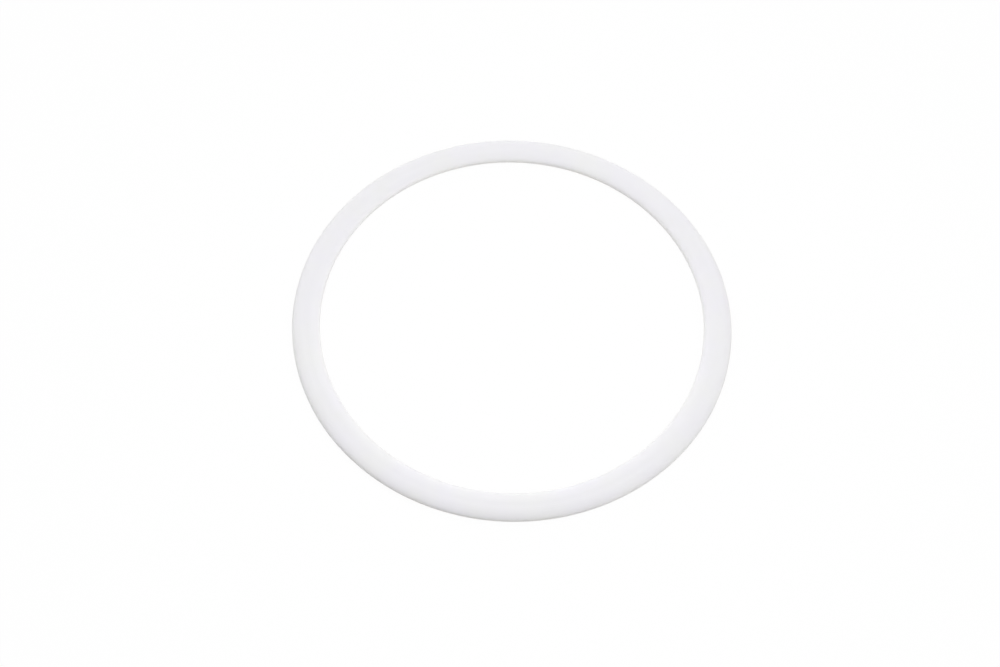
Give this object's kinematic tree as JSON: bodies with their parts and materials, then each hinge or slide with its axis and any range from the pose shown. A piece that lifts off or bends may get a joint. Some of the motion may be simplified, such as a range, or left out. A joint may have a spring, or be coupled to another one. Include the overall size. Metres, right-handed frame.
{
  "type": "backup ring",
  "caption": "Flat endless backup ring of white PTFE with broadly rounded edges, which stops an O-ring from being pressed into the gap beside its groove.",
  "frame": {"origin": "on the ring's axis, level with the flat face that it lies on", "axes": "+Z along the ring's axis, up from the face that it lies on; the ring is the same all round it"},
  "size_m": [0.08, 0.08, 0.002],
  "materials": {
    "ptfe": "virgin PTFE, milky white and slightly translucent, with a waxy satin skin and faint turning marks"
  },
  "bodies": {
    "root": {"backup_ring": "ptfe"}
  },
  "joints": []
}
